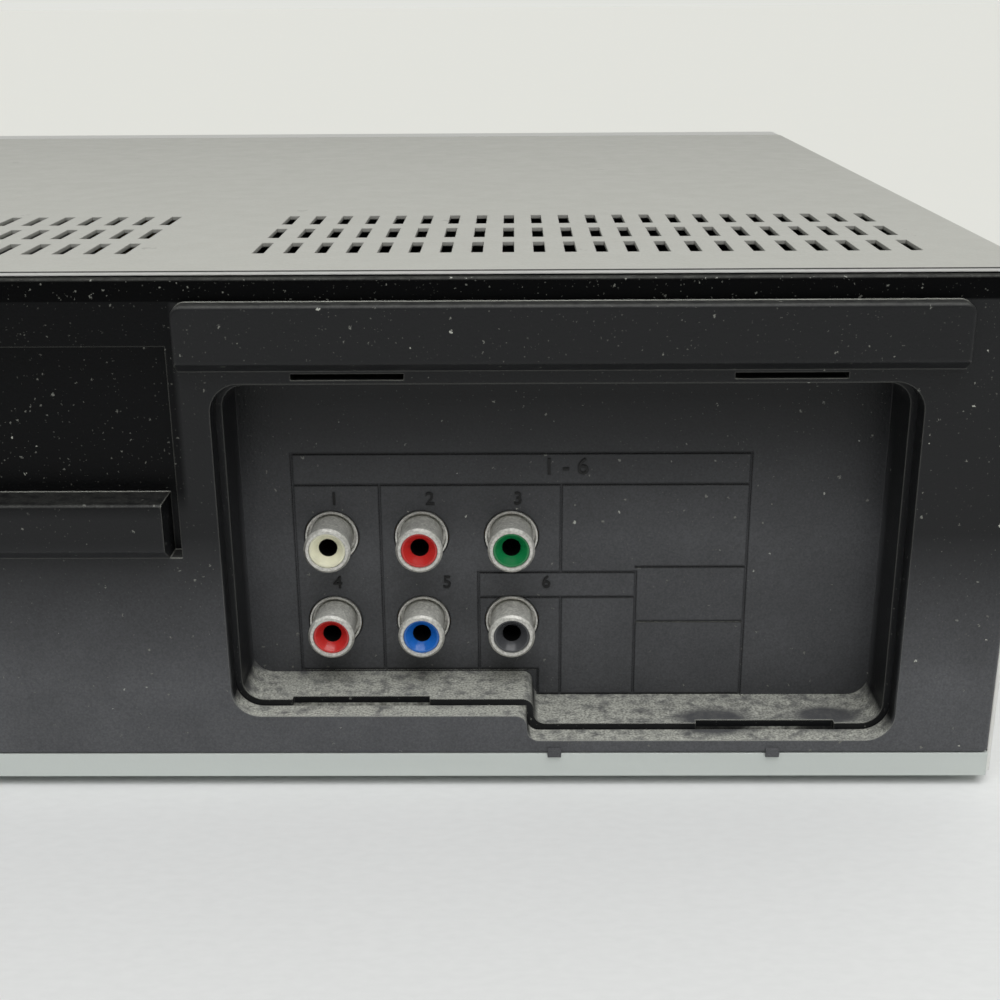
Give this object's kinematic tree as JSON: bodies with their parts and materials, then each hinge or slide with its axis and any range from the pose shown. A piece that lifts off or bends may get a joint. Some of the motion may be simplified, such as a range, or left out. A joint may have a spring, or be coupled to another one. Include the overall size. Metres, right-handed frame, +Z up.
{
  "type": "disc and cassette player",
  "caption": "Disc player and videocassette recorder in one low case, with a sliding disc tray, a hinged cassette flap and rear jack pockets.",
  "frame": {"origin": "on the floor under the middle of the case", "axes": "+Z up, the front with its tray faces -Y, the jacks face +Y, +X to the right seen from the front"},
  "size_m": [0.4336, 0.25, 0.0926],
  "materials": {
    "cover_paint": "fine textured silver enamel",
    "chassis_steel": "smooth silver enamel",
    "black_abs": "moulded, fine leather grain",
    "bezel_silver": "painted satin silver",
    "gloss_black": "polished black",
    "smoked_window": "smoked acrylic",
    "nickel": "nickel plate, dulled",
    "zinc_steel": "zinc-plated sheet",
    "white_pbt": "moulded",
    "red_pbt": "moulded",
    "green_pbt": "moulded",
    "blue_pbt": "moulded",
    "black_pbt": "moulded",
    "yellow_pbt": "moulded",
    "grey_abs": "moulded",
    "white_pom": "moulded acetal",
    "board_green": "solder-masked laminate",
    "board_brown": "paper laminate",
    "rubber_black": "moulded",
    "aluminium_cast": "turned",
    "ground_steel": "ground",
    "display_glass": "glass tube"
  },
  "bodies": {
    "case": {"aerial_sockets": "nickel", "bottom_chassis": "chassis_steel", "cassette_brackets": "zinc_steel", "cassette_deck": "zinc_steel", "clamp_bridge": "zinc_steel", "cover_screws": "zinc_steel", "display_module": "display_glass", "display_window": "smoked_window", "dvd_jack_panel": "black_abs", "feet": "rubber_black", "front_bezel": "bezel_silver", "front_board": "board_brown", "jack_boards": "board_brown", "jack_insulators_black": "black_pbt", "jack_insulators_blue": "blue_pbt", "jack_insulators_green": "green_pbt", "jack_insulators_red": "red_pbt", "jack_insulators_white": "white_pbt", "jack_insulators_yellow": "yellow_pbt", "jack_shells": "nickel", "loader_frame": "grey_abs", "lower_drum": "aluminium_cast", "main_board": "board_green", "mains_inlet": "black_abs", "power_board": "board_brown", "rear_panel": "black_abs", "tape_guides": "ground_steel", "tape_heads": "ground_steel", "top_cover": "cover_paint", "tray_belt": "rubber_black", "tray_motor": "zinc_steel", "tuner_module": "zinc_steel", "vcr_jack_panel": "black_abs"},
    "tray": {"disc_tray": "grey_abs", "tray_front": "bezel_silver"},
    "tray_gear": {"tray_gear": "white_pom"},
    "motor_pulley": {"motor_pulley": "white_pom"},
    "disc_clamp": {"disc_clamp": "white_pom"},
    "traverse": {"traverse_frame": "grey_abs", "guide_rods": "ground_steel", "disc_motor": "zinc_steel"},
    "turntable": {"turntable": "black_pbt"},
    "sled": {"pickup_sled": "black_pbt"},
    "cassette_door": {"cassette_door": "bezel_silver"},
    "carriage": {"carriage_sliders": "zinc_steel"},
    "holder": {"cassette_holder": "zinc_steel"},
    "supply_reel": {"supply_reel_table": "white_pom"},
    "takeup_reel": {"takeup_reel_table": "white_pom"},
    "head_drum": {"upper_drum": "aluminium_cast"},
    "capstan": {"capstan": "ground_steel"},
    "pinch_arm": {"pinch_arm": "zinc_steel"},
    "pinch_roller": {"pinch_roller": "rubber_black"},
    "power_button": {"power_button": "gloss_black"},
    "tray_button": {"tray_button": "gloss_black"},
    "eject_button": {"eject_button": "gloss_black"},
    "rewind_button": {"rewind_button": "gloss_black"},
    "play_button": {"play_button": "gloss_black"},
    "forward_button": {"forward_button": "gloss_black"},
    "stop_button": {"stop_button": "gloss_black"},
    "record_button": {"record_button": "gloss_black"}
  },
  "joints": [
    {"name": "tray_slide", "type": "slide", "parent": "case", "child": "tray", "axis": [0, -1, 0], "range_m": [0, 0.138]},
    {"name": "tray_gear_spin", "type": "hinge", "parent": "case", "child": "tray_gear", "pos_m": [-0.077, -0.096, 0.059], "axis": [0, 0, 1], "continuous": true},
    {"name": "motor_pulley_spin", "type": "hinge", "parent": "case", "child": "motor_pulley", "pos_m": [-0.113, -0.096, 0.055], "axis": [0, 0, 1], "continuous": true},
    {"name": "disc_clamp_spin", "type": "hinge", "parent": "case", "child": "disc_clamp", "pos_m": [-0.12, -0.05, 0.071], "axis": [0, 0, 1], "continuous": true},
    {"name": "traverse_tilt", "type": "hinge", "parent": "case", "child": "traverse", "pos_m": [-0.12, 0.04, 0.0501], "axis": [1, 0, 0], "range_deg": [0, 5.2]},
    {"name": "turntable_spin", "type": "hinge", "parent": "traverse", "child": "turntable", "pos_m": [-0.12, -0.05, 0.063], "axis": [0, 0, 1], "continuous": true},
    {"name": "sled_slide", "type": "slide", "parent": "traverse", "child": "sled", "axis": [0, 1, 0], "range_m": [0, 0.034]},
    {"name": "cassette_door_hinge", "type": "hinge", "parent": "case", "child": "cassette_door", "pos_m": [0.107, -0.1194, 0.0868], "axis": [1, 0, 0], "range_deg": [0, 88], "stiffness_Nm_per_rad": 0.01, "springref_deg": -17.19},
    {"name": "carriage_slide", "type": "slide", "parent": "case", "child": "carriage", "axis": [0, 1, 0], "range_m": [0, 0.05]},
    {"name": "holder_lower", "type": "slide", "parent": "carriage", "child": "holder", "axis": [0, 0, -1], "range_m": [0, 0.03]},
    {"name": "supply_reel_spin", "type": "hinge", "parent": "case", "child": "supply_reel", "pos_m": [0.06075, -0.044, 0.02], "axis": [0, 0, 1], "continuous": true},
    {"name": "takeup_reel_spin", "type": "hinge", "parent": "case", "child": "takeup_reel", "pos_m": [0.15325, -0.044, 0.02], "axis": [0, 0, 1], "continuous": true},
    {"name": "head_drum_spin", "type": "hinge", "parent": "case", "child": "head_drum", "pos_m": [0.099, 0.045, 0.0215], "axis": [0, -0.104, 0.9946], "continuous": true},
    {"name": "capstan_spin", "type": "hinge", "parent": "case", "child": "capstan", "pos_m": [0.161, 0.03, 0.02], "axis": [0, 0, 1], "continuous": true},
    {"name": "pinch_arm_swing", "type": "hinge", "parent": "case", "child": "pinch_arm", "pos_m": [0.181, 0.038, 0.02], "axis": [0, 0, 1], "range_deg": [-13.5, 0]},
    {"name": "pinch_roller_spin", "type": "hinge", "parent": "pinch_arm", "child": "pinch_roller", "pos_m": [0.169, 0.02, 0.03], "axis": [0, 0, 1], "continuous": true},
    {"name": "power_button_press", "type": "slide", "parent": "case", "child": "power_button", "axis": [0, 1, 0], "range_m": [0, 0.0012], "stiffness_N_per_m": 500},
    {"name": "tray_button_press", "type": "slide", "parent": "case", "child": "tray_button", "axis": [0, 1, 0], "range_m": [0, 0.0012], "stiffness_N_per_m": 500},
    {"name": "eject_button_press", "type": "slide", "parent": "case", "child": "eject_button", "axis": [0, 1, 0], "range_m": [0, 0.0012], "stiffness_N_per_m": 500},
    {"name": "rewind_button_press", "type": "slide", "parent": "case", "child": "rewind_button", "axis": [0, 1, 0], "range_m": [0, 0.0012], "stiffness_N_per_m": 500},
    {"name": "play_button_press", "type": "slide", "parent": "case", "child": "play_button", "axis": [0, 1, 0], "range_m": [0, 0.0012], "stiffness_N_per_m": 500},
    {"name": "forward_button_press", "type": "slide", "parent": "case", "child": "forward_button", "axis": [0, 1, 0], "range_m": [0, 0.0012], "stiffness_N_per_m": 500},
    {"name": "stop_button_press", "type": "slide", "parent": "case", "child": "stop_button", "axis": [0, 1, 0], "range_m": [0, 0.0012], "stiffness_N_per_m": 500},
    {"name": "record_button_press", "type": "slide", "parent": "case", "child": "record_button", "axis": [0, 1, 0], "range_m": [0, 0.0012], "stiffness_N_per_m": 500}
  ],
  "couplings": [
    {"joint": "tray_gear_spin", "follows": "tray_slide", "rad_per_m": -83.333},
    {"joint": "motor_pulley_spin", "follows": "tray_slide", "rad_per_m": -343.5},
    {"joint": "traverse_tilt", "follows": "tray_slide", "rad_per_m": 0.63237}
  ]
}
